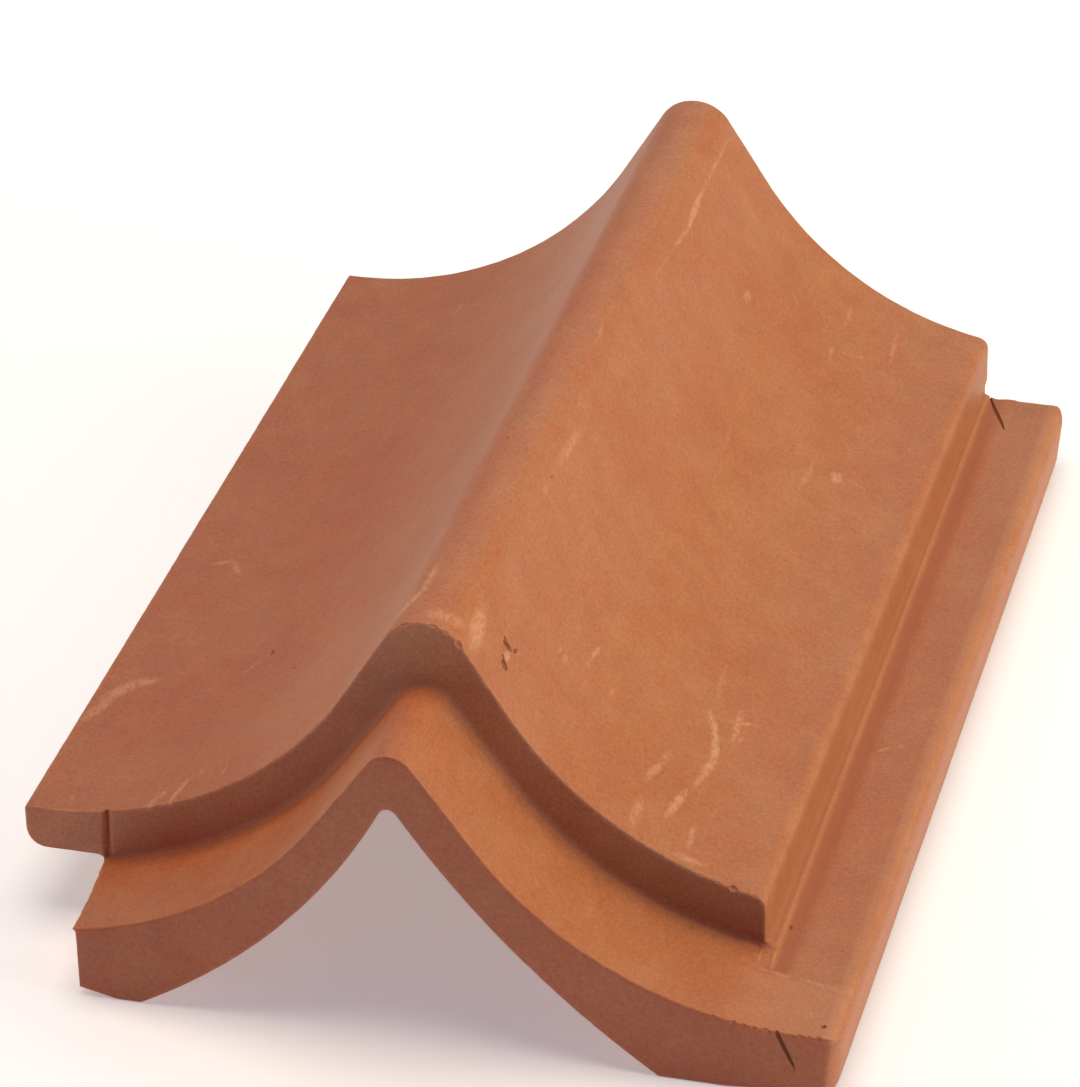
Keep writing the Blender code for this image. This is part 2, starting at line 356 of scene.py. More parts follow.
def bendOf(piece, rounds=2):
    # How strongly the surface bends at each vertex, per metre: above 0 on arrises, below 0 in hollows.
    mesh = piece.data
    normals, centres = [readArray(mesh.polygons, field, 3) for field in ("normal", "center")]
    areas = readArray(mesh.polygons, "area")
    counts = readArray(mesh.polygons, "loop_total", kind=np.int32)
    edgeOf = readArray(mesh.loops, "edge_index", kind=np.int32)
    vertOf = readArray(mesh.loops, "vertex_index", kind=np.int32)
    ends = readArray(mesh.edges, "vertices", 2, np.int32)
    faceOf = np.repeat(np.arange(len(counts)), counts)
    order = np.argsort(edgeOf, kind="stable")
    paired = np.bincount(edgeOf, minlength=len(ends)) == 2
    starts = np.searchsorted(edgeOf[order], np.arange(len(ends)))[paired]
    first, second = faceOf[order[starts]], faceOf[order[starts + 1]]
    angle = np.arccos(np.clip((normals[first] * normals[second]).sum(1), -1, 1))
    angle *= -np.sign((normals[first] * (centres[second] - centres[first])).sum(1))
    points = readPoints(piece)
    ends = ends[paired]
    turned = angle * np.linalg.norm(points[ends[:, 0]] - points[ends[:, 1]], axis=1) / 2
    verts = len(points)
    total = np.bincount(ends[:, 0], turned, verts) + np.bincount(ends[:, 1], turned, verts)
    area = np.bincount(vertOf, (areas / counts)[faceOf], verts)
    for _ in range(rounds):
        for values in (total, area):
            shared = np.bincount(ends[:, 0], values[ends[:, 1]], verts)
            shared += np.bincount(ends[:, 1], values[ends[:, 0]], verts)
            values += shared
            values /= 1 + np.bincount(ends.ravel(), minlength=verts)
    return total / np.maximum(area, 1e-12)


def groupVerts(piece, name, weights, levels=10):
    # A vertex group from a weight for each vertex, in a few even levels.
    group = piece.vertex_groups.new(name=name)
    stepOf = np.round(np.clip(weights, 0, 1) * levels).astype(int)
    for step in range(1, levels + 1):
        chosen = np.nonzero(stepOf == step)[0].tolist()
        if chosen:
            group.add(chosen, step / levels, "REPLACE")


def cloudsOf(name, size, depth=2, holes=None):
    # A cloud texture; with holes it runs from black at the first level to white at the second.
    texture = bpy.data.textures.new(name, "CLOUDS")
    texture.noise_basis = "IMPROVED_PERLIN"
    texture.noise_scale = size
    texture.noise_depth = depth
    if holes:
        texture.use_color_ramp = True
        low, high = texture.color_ramp.elements
        low.position, low.color = holes[0], (0, 0, 0, 1)
        high.position, high.color = holes[1], (1, 1, 1, 1)
    return texture


lower = lowerLayer()
upper = upperLayer()
clear = tileForm["clear"]
for layer in (lower, upper):
    cutAway(layer, (tileForm["stepX"], backY - tileForm["ledgeGap"], -clear),
            (ledgeX + clear, backY + clear, ledgeZ + tileForm["coveLip"] + tileForm["cove"]))

# What borders each end face; the back borders the lower layer's underside and the upper layer's top.
endSides = [
    (sidesOf((lower, -1, 1)), frontY, 1),
    (sidesOf((upper, -1, 1)), shoulderY, 1),
    (sidesOf((lower, -1, 0.2), (upper, -0.1, 1)), backY, -1),
]
tile = joined("clayRidgeTile", lower, upper)
print("layers joined")

fineness = {"voxel": 0.0008, "smoothing": 3, "triangles": 178000}
surfaceForm = {
    "coveFootX": tileForm["stepX"] + tileForm["cove"],
    "strip": ((-0.0048, 0.0014), (0.0215, 0.0262), 0.006),  # finer faces: across, height, back gap
    "ledgeBand": (0.018, 0.0275),  # heights between which the ledge's top is found
    "upFacing": (0.1, 0.7),  # upward part of the normals where a top begins and is full
    "ledgeStart": (-0.0003, 0.0004),  # from the cove's foot
    "ledgeRise": 0.0006,  # the ledge over the tongue's edge
    "gutter": (0.1134, 0.003, 0.0007),  # middle, half width and depth
    "mitre": (0.110, -0.1702, -0.25),  # where the ledge's front seam starts, and its slope in plan
    "seamFade": 0.0007,
    "softEdge": 0.0006,
    "runOut": (0.0042, 0.0004, 0.0011),  # the cove's run-out in front: width, rise of its sides
    "runOutEnd": 0.001,  # the run-out is full this far behind the shoulder
    "footRidge": (0.0003, 0.0005, 0.0016),  # fine ridge on the cove's foot: middle, half width, reach
    "footRidgeRise": 0.0003,
    "sideLean": (-0.0012, 0.0006),  # the upright side stands off by this in front and at the back
    "sideAcross": (0.088, 0.1035),  # the lean's fade from the crest line
    "sideHeight": (0.0237, 0.0265),
    "endRounds": ((0.0048, 0.0090), (0.0055, 0.0055)),  # the ledge's front and back corners in plan
    "shoulderDepth": 0.0008,  # a vertex this near to the shoulder's plane is on its face
    "frontFacing": (0.3, 0.8),
    "lipStep": 0.0004,  # the lip's front stands this far forward
    "lipStepFade": (-0.0002, 0.0007),
    "crease": (-0.1059, 0.0008, 0.0011),  # place, half width and depth of the crease beside the lip
    "creaseLean": 0.04,  # sideways shift per metre of height
    "endArris": 0.0008,  # radius between the end faces and the sides
    "arrisSearch": 1.5,  # sides are looked for within this many radii
    "sharpCove": (0.1, 0.0262, 0.01),  # no arris is rounded right of, below and behind this
    "root": 0.0032,  # reach of the soft root at the step's foot
    "rootFull": 0.4,  # share of the reach in which the root is full
    "rootEnds": (0.099, 0.105),
    "rootSmoothing": 14,
    "waves": (0.075, 0.00035, 0.8),  # size, depth and resting level
    "dents": (0.014, 0.00012, 0.7),
    "knocks": (0.0045, 0.00028, 1),
    "knockHoles": (0.30, 0.60),
    "knockBends": (120, 400),  # bend per metre at which knocks begin and are full
    "knockShares": (0.3, 0.7),  # on all arrises, and added on the front's upper ones
    "knockHeights": (0.006, 0.016),
    "frontReach": 0.0015,  # the front's arrises end this far behind the shoulder
    "upperArris": 0.15,  # upward part of an upper arris's normal
    "unknocked": ((-0.006, 0.003), (0.02, 0.028)),  # beside the cove: from its foot, and in height
}

applyModifier(tile, "REMESH", mode="VOXEL", voxel_size=fineness["voxel"])
print("remeshed:", len(tile.data.polygons), "faces")
applyModifier(tile, "SMOOTH", factor=0.5, iterations=fineness["smoothing"])


def refineStrip(piece):
    # Splits the faces on the cove's foot and the seam in front of it.
    foot = surfaceForm["coveFootX"]
    (left, right), (low, high), backGap = surfaceForm["strip"]
    makeActive(piece)
    bpy.ops.object.mode_set(mode="EDIT")
    bpy.ops.mesh.select_mode(type="FACE")
    mesh = bmesh.from_edit_mesh(piece.data)
    bpy.ops.mesh.select_all(action="DESELECT")
    for face in mesh.faces:
        x, y, z = face.calc_center_median()
        if foot + left < x < foot + right and low < z < high and y < backY - backGap:
            face.select_set(True)
    bmesh.update_edit_mesh(piece.data)
    bpy.ops.mesh.subdivide(number_cuts=1)
    bpy.ops.mesh.select_mode(type="VERT")
    deselectAll()


refineStrip(tile)

scuffForm = {
    "widening": 1.3,  # the top's scuffs are drawn this much wider than listed
    "depth": 0.003,  # a scuff reaches this far above and below the surface
    "full": 0.2,  # share of its reach in which a scuff is full
    "faded": 1.6,  # share of its reach at which it has faded away
    "kept": 2,  # share of its reach in which no faces are thinned
}

# Pale scuffs on the top: both ends in plan, width and strength.
scuffs = [
    (14, 197, 14, 150, 1.6, 0.5), (14, 152, 15, 122, 2.4, 0.8), (15, 126, 14, 104, 1.8, 0.5),
    (14, 104, 13, 80, 1.6, 0.3), (13, 66, 13, 64, 1.8, 0.5), (7, 36, 8, 26, 1.4, 0.4),
    (4, 158, 4, 155, 1.4, 0.3), (10, 151, 10, 148, 1.4, 0.3), (34, 136, 34, 132, 3.4, 0.55),
    (62, 180, 62, 166, 1.7, 0.5), (61, 151, 62, 141, 1.7, 0.5), (65, 158, 66, 151, 1.4, 0.4),
    (62, 148, 79, 160, 1.6, 0.4), (78, 182, 80, 159, 1.8, 0.5), (44, 160, 47, 157, 1.8, 0.4),
    (70, 76, 69, 59, 2.2, 0.5), (78, 78, 78, 75, 3.6, 0.85), (83, 79, 88, 78, 1.6, 0.5),
    (44, 65, 45, 52, 1.7, 0.35), (70, -55, 71, -73, 1.9, 0.45), (71, -82, 75, -91, 2.4, 0.75),
    (74, -88, 76, -98, 2.6, 0.8), (76, -95, 77, -106, 2.6, 0.8), (77, -103, 76, -114, 2.5, 0.75),
    (76, -111, 75, -120, 1.8, 0.65), (73, -126, 71, -140, 2.5, 0.85), (65, -111, 64, -118, 2.6, 0.5),
    (64, -118, 62, -130, 2.6, 0.6), (63, -141, 63, -155, 3.4, 0.55), (79, -137, 80, -151, 1.9, 0.55),
    (79, -72, 80, -90, 2.2, 0.65), (85, -76, 76, -81, 1.7, 0.6), (82, -86, 82, -88, 2.0, 0.5),
    (78, -156, 85, -155, 3.0, 0.6), (83, -126, 83, -131, 1.5, 0.35), (38, -92, 37, -102, 1.9, 0.6),
    (37, -104, 37, -106, 1.6, 0.55), (32, -112, 32, -114, 2.2, 0.6), (30, -111, 30, -113, 1.4, 0.5),
    (38, -108, 38, -118, 1.4, 0.35), (45, -105, 45, -107, 1.8, 0.5), (14, -20, 13, -45, 3.6, 0.5),
    (13, -61, 13, -65, 2.2, 0.4), (-5, -126, -5, -141, 2.6, 0.75), (-5, -140, -10, -151, 2.8, 0.8),
    (13, -140, 14, -152, 5.6, 0.8), (1, -154, 10, -152, 5.0, 0.6), (21, -139, 21, -142, 2.2, 0.8),
    (-81, 172, -81, 162, 2.0, 0.45), (-72, 120, -80, 117, 1.8, 0.3), (-79, 118, -86, 107, 1.8, 0.3),
    (-81, 81, -82, 56, 2.0, 0.3), (-32, 12, -35, 3, 1.8, 0.3), (-119, -8, -113, -6, 2.2, 0.6),
    (-114, -5, -108, -15, 2.2, 0.6), (-114, -59, -109, -57, 1.6, 0.35),
    (-115, -82, -124, -87, 3.6, 0.7), (-121, -84, -128, -95, 4.8, 0.8),
    (-125, -90, -132, -112, 4.0, 0.6), (-79, -74, -84, -83, 2.2, 0.5),
    (-79, -143, -79, -146, 1.8, 0.5), (-70, -147, -70, -151, 1.7, 0.5),
    (-82, -145, -85, -160, 2.0, 0.8), (-89, -152, -92, -160, 2.5, 0.7),
    (-120, -152, -119, -157, 1.6, 0.5),
]
# Scuffs on the ledge and the tongue, with their height: both ends, width and strength.
lowScuffs = [
    ((106, -170.6, 23.8), (119, -172, 23.7), 1.6, 0.5),
    ((117, -171.6, 23.7), (136, -176.5, 23.7), 2.0, 0.5),
    ((105.9, -170, 24), (105.4, -160, 24.6), 1.1, 0.55),
    ((110, -170, 24), (109.6, -158, 24.6), 1.1, 0.55),
    ((126, -186, 23), (128, -191, 23), 1.6, 0.5),
    ((117.5, -45, 23.5), (122, -41, 23.6), 1.6, 0.55),
    ((123.5, -38, 23.6), (126, -42, 23.6), 1.4, 0.5),
]


def onTop(x, y):
    # Place and facing of a point on the top, from its millimetres in plan.
    z, facing = levelAt(topForm, x / 1000)
    return Vector((x / 1000, y / 1000, z)), facing


def scuffStrokes():
    # Both ends, facing, width and strength of every scuff, in metres.
    strokes = []
    for x1, y1, x2, y2, width, strength in scuffs:
        start, end = onTop(x1, y1)[0], onTop(x2, y2)[0]
        facing = levelAt(topForm, (x1 + x2) / 2000)[1]
        strokes.append((start, end, facing, width * scuffForm["widening"] / 1000, strength))
    for start, end, width, strength in lowScuffs:
        facing = Vector((0, 0, 1))
        strokes.append((Vector(start) / 1000, Vector(end) / 1000, facing, width / 1000, strength))
    return strokes


def scuffCover(points, faded=scuffForm["faded"]):
    # How much of each point the scuffs cover; each scuff is a long oval on the surface.
    cover = np.zeros(len(points))
    for start, end, facing, width, strength in scuffStrokes():
        along = (end - start).normalized()
        facing = (facing - facing.dot(along) * along).normalized()
        turned = np.array((along, facing.cross(along), facing))
        reach = np.array(((end - start).length / 2 + width / 2, width / 2, scuffForm["depth"]))
        near = np.linalg.norm((points - np.array((start + end) / 2)) @ turned.T / reach, axis=1)
        cover = np.maximum(cover, strength * (1 - eased(near, scuffForm["full"], faded)))
    return cover


def raiseLedge(points, normals):
    # The ledge stands over the tongue's edge, with a gutter and a seam in front; the cove runs out
    # before it and has a fine ridge on its foot.
    f = surfaceForm
    x, y, z = points.T
    foot = f["coveFootX"]
    soft = f["softEdge"]
    seamX, seamY, seamSlope = f["mitre"]
    lowest, highest = f["ledgeBand"]
    behind = y - seamY - seamSlope * np.maximum(x - seamX, 0)
    upward = eased(normals[:, 2], *f["upFacing"]) * (z < highest) * (z > lowest)
    onLedge = eased(x, foot + f["ledgeStart"][0], foot + f["ledgeStart"][1]) * upward
    middle, halfWidth, depth = f["gutter"]
    gutter = depth * np.exp(-((x - middle) / halfWidth) ** 2)
    rise = (f["ledgeRise"] - gutter) * eased(behind, -f["seamFade"], f["seamFade"]) * onLedge
    inFront = eased(y, seamY - soft, shoulderY + f["runOutEnd"]) * (y < shoulderY + soft)
    width, leftRise, rightRise = f["runOut"]
    ramp = leftRise + (rightRise - leftRise) * np.clip((x - foot + width) / width, 0, 1)
    ramp *= eased(x, foot - width - soft, foot - width) * (1 - eased(x, foot, foot + soft))
    rise += ramp * inFront * upward
    before, halfWidth, reach = f["footRidge"]
    ridge = np.exp(-((x - foot + before) / halfWidth) ** 2)
    ridge *= (y >= shoulderY + soft) * (x > foot - reach)
    rise += f["footRidgeRise"] * ridge * upward
    points[:, 2] += rise


def stepLip(points, normals):
    # The lip's front stands forward of the shoulder, with a crease beside it.
    f = surfaceForm
    x, y, z = points.T
    onShoulder = np.abs(y - shoulderY) < f["shoulderDepth"]
    onShoulder = onShoulder * eased(-normals[:, 1], *f["frontFacing"])
    creaseX, halfWidth, depth = f["crease"]
    fromCrease = x - creaseX - f["creaseLean"] * (z - crestZ / 3)
    points[:, 1] -= f["lipStep"] * onShoulder * eased(-fromCrease, *f["lipStepFade"])
    points[:, 1] += depth * onShoulder * np.exp(-(fromCrease / halfWidth) ** 2)


def leanSide(points):
    # The upright side over the ledge isn't quite parallel to the crest line.
    f = surfaceForm
    x, y, z = points.T
    atShoulder, atBack = f["sideLean"]
    alongTile = np.clip((y - shoulderY) / (backY - shoulderY), 0, 1)
    lean = atShoulder + (atBack - atShoulder) * alongTile
    upright = eased(x, *f["sideAcross"]) * np.clip((f["coveFootX"] - x) / tileForm["cove"], 0, 1)
    upright *= eased(z, *f["sideHeight"]) * (y > shoulderY - tileForm["near"])
    points[:, 0] += lean * upright


def roundLedgeEnds(points):
    # The ledge's outer corners, rounded in plan.
    footX, footZ = tileForm["ledgeFootX"], tileForm["rightFoot"][1]
    side = footX + (points[:, 2] - footZ) * math.tan(math.radians(tileForm["ledgeLean"]))
    side = np.clip(side, footX, ledgeX)
    ends = ((frontY, 1), (backY - tileForm["ledgeGap"], -1))
    for (endY, inward), (width, length) in zip(ends, surfaceForm["endRounds"]):
        across = points[:, 0] - side + width
        outward = (endY + inward * length - points[:, 1]) * inward
        corner = (across > 0) & (outward > 0)
        far = np.hypot(across / width, outward / length)
        scale = np.where(corner & (far > 1), 1 / np.maximum(far, 1), 1)
        points[:, 0] += across * (scale - 1) * corner
        points[:, 1] -= outward * inward * (scale - 1) * corner


def shapeSurface(piece):
    points, normals = readPoints(piece), readNormals(piece)
    raiseLedge(points, normals)
    stepLip(points, normals)
    leanSide(points)
    roundLedgeEnds(points)
    writePoints(piece, points)


def roundArrises(piece):
    # Evens out the arrises between the end faces and the sides.
    radius = surfaceForm["endArris"]
    points = readPoints(piece)
    coveX, coveZ, behind = surfaceForm["sharpCove"]
    inCove = (points[:, 0] > coveX) & (points[:, 2] < coveZ) & (points[:, 1] > shoulderY - behind)
    for sides, endY, inward in endSides:
        deep = (points[:, 1] - endY) * inward
        near = (deep > -radius / 2) & (deep < radius) & ~inCove
        for index in np.nonzero(near)[0]:
            place = Vector(points[index])
            found, facing, _, _ = sides.find_nearest(place, radius * surfaceForm["arrisSearch"])
            inside = radius if found is None else (found - place).dot(facing)
            if -radius / 2 < inside < radius:
                outward = facing * (radius - inside) - Vector((0, inward, 0)) * (radius - deep[index])
                points[index] = place - outward + outward.normalized() * radius
    writePoints(piece, points)


def rootWeights(points):
    # The inner corner between the shoulder and the tongue.
    millimetres = range(0, 140)
    heights = np.array([levelAt(tongueForm, x / 1000)[0] for x in millimetres])
    tongueTop = np.interp(np.abs(points[:, 0]), np.array(millimetres) / 1000, heights)
    reach = surfaceForm["root"]
    full = reach * surfaceForm["rootFull"]
    nearStep = 1 - eased(np.abs(points[:, 1] - shoulderY), full, reach)
    nearTongue = 1 - eased(np.abs(points[:, 2] - tongueTop), full, reach)
    inside = 1 - eased(np.abs(points[:, 0]), *surfaceForm["rootEnds"])
    return nearStep * nearTongue * inside


def knockWeights(piece):
    # The arrises that are knocked, most of all in front, and neither beside the cove nor at the feet.
    f = surfaceForm
    x, y, z = readPoints(piece).T
    (left, right), (low, high) = f["unknocked"]
    besideCove = (x > f["coveFootX"] + left) & (x < f["coveFootX"] + right) & (z > low) & (z < high)
    frontTop = (y < shoulderY + f["frontReach"]) & (readNormals(piece)[:, 2] > f["upperArris"])
    everywhere, more = f["knockShares"]
    rough = (everywhere + more * frontTop) * eased(z, *f["knockHeights"])
    return eased(bendOf(piece), *f["knockBends"]) * rough * ~besideCove


roundArrises(tile)
shapeSurface(tile)
groupVerts(tile, "root", rootWeights(readPoints(tile)))
applyModifier(tile, "SMOOTH", factor=0.5, iterations=surfaceForm["rootSmoothing"], vertex_group="root")
groupVerts(tile, "arris", knockWeights(tile))
for name in ("waves", "dents"):
    size, depth, level = surfaceForm[name]
    applyModifier(tile, "DISPLACE", texture=cloudsOf(name, size), strength=depth, mid_level=level)
size, depth, level = surfaceForm["knocks"]
applyModifier(tile, "DISPLACE", texture=cloudsOf("knocks", size, 3, holes=surfaceForm["knockHoles"]),
              strength=depth, mid_level=level, vertex_group="arris")
writePoints(tile, np.clip(readPoints(tile), np.array(tileLow), np.array(tileHigh)))
print("surface worked")

wearForm = {
    "keptBend": 150,  # front arrises that bend more than this per metre keep their faces
    "keptBehind": 0.002,  # they lie before this distance behind the shoulder
    "keptFactor": 5,
    "lumpRoughness": 0.14,
    "smoothAngle": 50,
    "arrisBends": (90, 350),  # bend per metre at which an arris begins and is full
    # painted shade: hollows that bend inward this much per metre are darkened
    "hollowBends": (60, 300),
}


def thinFaces(piece):
    # Thins the faces, but the front arrises and the scuffs keep theirs longest.
    ratio = fineness["triangles"] / (2 * len(piece.data.polygons))
    piece.vertex_groups.clear()
    points = readPoints(piece)
    frontArris = bendOf(piece) > wearForm["keptBend"]
    frontArris &= points[:, 1] < shoulderY + wearForm["keptBehind"]
    groupVerts(piece, "kept", frontArris | (scuffCover(points, scuffForm["kept"]) > 0))
    applyModifier(piece, "DECIMATE", ratio=min(1, ratio), vertex_group="kept",
                  invert_vertex_group=True, vertex_group_factor=wearForm["keptFactor"])
    piece.vertex_groups.clear()


thinFaces(tile)
print("thinned:", len(tile.data.polygons), "faces")

# All gouges are in millimetres. Pits on the top: place and direction in plan, half length, half width
# and depth.
topPits = [
    (20.2, -136.9, 1, 0.1, 2.5, 1.4, 0.8),
    (19.2, -135.6, 1, -0.6, 1.1, 0.7, 0.5),
    (22.0, -134.9, 0.3, 1, 1.9, 0.8, 0.45),
    (21.3, -144.8, 1, -0.7, 2.1, 1.6, 0.9),
    (20.4, -142.6, 1, -0.5, 1.2, 0.7, 0.5),
    (-77.4, -73.7, -0.3, 1, 1.7, 0.8, 0.45),
    (-64.3, -91.9, 0, 1, 0.8, 0.6, 0.35),
    (-3.6, -46.5, 0, 1, 0.7, 0.5, 0.25),
    (13.0, -54.7, 0.2, 1, 0.9, 0.6, 0.25),
]
# Two pits and two cracks: place, the way they face, their direction, half length, half width, depth.
cracks = [
    ((111.6, -147.4, 24.0), (0, 0, 1), (0, 1, 0), 1.4, 0.8, 0.40),
    ((132.0, -193.8, 23.0), (0, 0, 1), (0.5, 1, 0), 1.0, 0.8, 0.5),
    ((120.2, -200.0, 19.8), (0, -1, 0), (6.3, 0, -13.8), 11.0, 0.8, 1.3),
    ((115.0, 181.0, 23.5), (0, 0, 1), (9, -21, 0), 12.8, 0.75, 1.4),
]
# Chips off the front arrises: distance from the crest line, half length, half width and depth.
shoulderChips = [
    (103.0, 1.3, 1.2, 1.1), (100.6, 0.9, 1.1, 0.9), (96.4, 1.9, 2.0, 1.7), (91.4, 1.2, 1.1, 0.9),
    (86.2, 1.6, 1.1, 0.9), (44.0, 1.2, 1.1, 0.7), (11.8, 2.1, 1.8, 1.5), (7.9, 1.2, 1.3, 1.1),
    (3.4, 2.0, 1.4, 1.1), (-1.5, 1.1, 1.2, 0.9), (-6.0, 2.4, 1.4, 1.2), (-10.5, 1.4, 1.1, 0.9),
]
tipChips = [
    (131.4, 1.5, 1.8, 1.4), (128.4, 0.9, 1.3, 1.0), (125.6, 1.3, 1.5, 1.2), (122.9, 0.8, 1.2, 1.0),
    (115.2, 1.6, 1.6, 1.3), (111.6, 1.2, 1.4, 1.1), (108.4, 1.0, 1.3, 1.0), (105.4, 1.2, 1.5, 1.2),
    (99.0, 1.1, 1.2, 0.9),
]


def gougeLump(place, facing, along, reach, seed, finish):
    # A rough lump that is cut out of the clay; its half sizes are in millimetres.
    deselectAll()
    bpy.ops.mesh.primitive_ico_sphere_add(subdivisions=2, radius=1)
    lump = bpy.context.active_object
    bpy.ops.object.mode_set(mode="EDIT")
    bpy.ops.transform.vertex_random(offset=wearForm["lumpRoughness"], seed=seed)
    deselectAll()
    facing = Vector(facing).normalized()
    along = Vector(along)
    along = (along - along.dot(facing) * facing).normalized()
    sides = (along, facing.cross(along), facing)
    turned = Matrix([side * (half / 1000) for side, half in zip(sides, reach)]).transposed().to_4x4()
    lump.data.transform(Matrix.Translation(place) @ turned)
    lump.data.materials.append(finish)
    return lump


def allGouges(clayFinish, brokenFinish):
    # Pits and cracks show broken clay, chips are as worn as the rest.
    lumps = []
    for x, y, alongX, alongY, *reach in topPits:
        place, facing = onTop(x, y)
        along = (alongX * facing.z, alongY, -alongX * facing.x)
        lumps.append(gougeLump(place, facing, along, reach, len(lumps), brokenFinish))
    for place, facing, along, *reach in cracks:
        lumps.append(gougeLump(Vector(place) / 1000, facing, along, reach, len(lumps), brokenFinish))
    for form, y, rows in ((topForm, shoulderY, shoulderChips), (tongueForm, frontY, tipChips)):
        for x, *reach in rows:
            z, facing = levelAt(form, x / 1000)
            outward = facing + Vector((0, -1, 0))
            along = (facing.z, 0, -facing.x)
            place = (x / 1000, y, z)
            lumps.append(gougeLump(place, outward, along, reach, len(lumps), clayFinish))
    return joined("gouges", *lumps)


def markWearAndShade(piece):
    # Attributes for the clay's material: arrises, hollows for the painted shade, and scuffs.
    bends = bendOf(piece, 1)
    wearAndShade = {
        "arris": eased(bends, *wearForm["arrisBends"]),
        # painted shade in the hollows
        "hollow": eased(-bends, *wearForm["hollowBends"]),
        "scuff": scuffCover(readPoints(piece)),
    }
    for name, values in wearAndShade.items():
        attribute = piece.data.attributes.new(name, "FLOAT", "POINT")
        attribute.data.foreach_set("value", values.astype(np.float32))


applyModifier(tile, "TRIANGULATE")
brokenClay = bpy.data.materials.new("brokenClay")
terracotta = bpy.data.materials.new("terracotta")
tile.data.materials.append(terracotta)
gouges = allGouges(terracotta, brokenClay)
applyModifier(tile, "BOOLEAN", object=gouges, operation="DIFFERENCE", solver="MANIFOLD",
              material_mode="TRANSFER")
bpy.data.objects.remove(gouges)
makeActive(tile)
bpy.ops.object.shade_smooth_by_angle(angle=math.radians(wearForm["smoothAngle"]))
markWearAndShade(tile)
print("gouged:", sum(len(face.vertices) - 2 for face in tile.data.polygons), "triangles")

# The clay's material works in millimetres on the tile's own coordinates.
clay = {
    "colours": ((0.472, 0.145, 0.055), (0.480, 0.158, 0.062), (0.486, 0.174, 0.072)),
    "colourStops": (0.40, 0.5, 0.60),
    # painted shade in the hollows
    "hollow": (0.430, 0.120, 0.044),
    # painted shade in the gutter
    "gutter": (0.375, 0.100, 0.036),  # beside the cove's foot
    "broken": (0.300, 0.098, 0.050),
    # paler arrises: partly wear, partly a painted highlight
    "arris": (0.570, 0.225, 0.100),
    # also the colour of the painted highlights on the rim and the upright side's foot
    "scuff": (0.760, 0.380, 0.210),
    "cutEnd": (0.86, 0.70, 0.67),  # painted shade: the end faces are made darker and redder
    "speck": (1.0, 0.75, 0.66),  # tint of the fine grain
    # painted shade on the left wing
    "leftWing": (0.96, 0.90, 0.87),
    "stepFace": ((1.10, 1.26, 1.42), (0.86, 0.97, 1.10)),  # the shoulder's face: painted light at the left, painted shade at the right
    # how strongly the painted shade darkens the hollows
    "hollowShare": 0.55,
    "arrisShare": (0.3, 0.7, 0.4),  # fades in between two levels of the spots, up to a share
    # the painted highlight along the cove's foot
    "footLineFade": -1.1,  # per millimetre from the cove's foot
    "footLineShare": 0.5,
    "gutterShare": 0.8,
    "roughness": 0.55,
    "roughnessSwing": 0.16,
    "brokenRoughness": 0.9,
    "brokenBump": 0.0002,
    "noiseSwing": 0.25,  # a noise's usual swing, which the heights below are given for
    "heights": {"grain": 0.03, "sand": 0.012, "drag": 0.015},  # in millimetres
}
# Noises of the clay: size in millimetres, detail, roughness and shift.
clayNoises = {
    "broad": (40, 2, 0.5, 7),
    "patches": (12, 3, 0.6, 17),
    "spots": (9, 4, 0.6, 31),
    "drag": ((1.6, 34, 1.6), 3, 0.6, 3),
    "grain": (1.3, 3, 0.65, 11),
    "sand": (0.45, 2, 0.6, 23),
    "scuff": ((1.4, 2.8, 1.4), 3, 0.65, 5),
    "broken": (0.8, 3, 0.65, 11),
}
# How strongly each noise changes the shade.
shadeSwings = {"spots": 0.26, "drag": 0.12, "grain": 0.20, "sand": 0.08, "broken": 0.8}
# Limits of the clay's zones: where each begins, where it is full, and its share if below 1.
clayZones = {
    "ledge": (0.6, 1.4),  # middle over the ledge and half height
    "gutterInner": (0.7, 2.0),  # from the cove's foot
    "gutterOuter": (8.0, 3.0),
    "cornerAcross": (96, 108),  # pale corner of the tongue beside the ledge
    "cornerBehind": (-171, -175),
    "cornerAbove": 22.3,
    "cornerFront": (-199.6, -199.0, 0.14),
    # painted highlight on the ledge's outer arris
    "rimInner": (131.6, 133.6),  # pale outer arris of the ledge
    "rimOuter": (137.6, 136.4, 0.16),
    "rimHeight": (20, 22),
    # painted highlight on the upright side's foot
    "uprightReach": 1.9,  # pale foot of the upright side
    "uprightTop": (35, 28, 0.12),
    "uprightFoot": (24.5, 26.0),
    "scuffContrast": (2.6, -0.5),
    "scuffFade": (0.05, 0.80, 0.60),
    "cutEnd": (-1.2, -0.4),  # from the end planes
    # painted shade on the left wing
    "leftWing": (-48, -80),
    # painted light and shade on the shoulder's face
    "stepSides": (-90, 90),
    "stepDepth": (0.9, 0.5),  # from the shoulder's plane
    "stepAcross": (108.6, 107.8),
    "stepHeight": (25.2, 27.0),
}


def addNode(tree, kind, values=(), **settings):
    node = tree.nodes.new("ShaderNode" + kind)
    for name, value in settings.items():
        setattr(node, name, value)
    for key, value in dict(values).items():
        if isinstance(value, bpy.types.NodeSocket):
            tree.links.new(value, node.inputs[key])
        else:
            node.inputs[key].default_value = value
    return node


def mathOf(tree, operation, *values, clamp=False):
    node = addNode(tree, "Math", enumerate(values), operation=operation, use_clamp=clamp)
    return node.outputs[0]


def productOf(tree, first, *others):
    for other in others:
        first = mathOf(tree, "MULTIPLY", first, other)
    return first


def variedOf(tree, value, noise, swing):
    # A value with a noise added that swings it by half the swing either way.
    if isinstance(value, bpy.types.NodeSocket):
        lowered = mathOf(tree, "ADD", value, -swing / 2)
    else:
        lowered = value - swing / 2
    return mathOf(tree, "MULTIPLY_ADD", noise, swing, lowered)


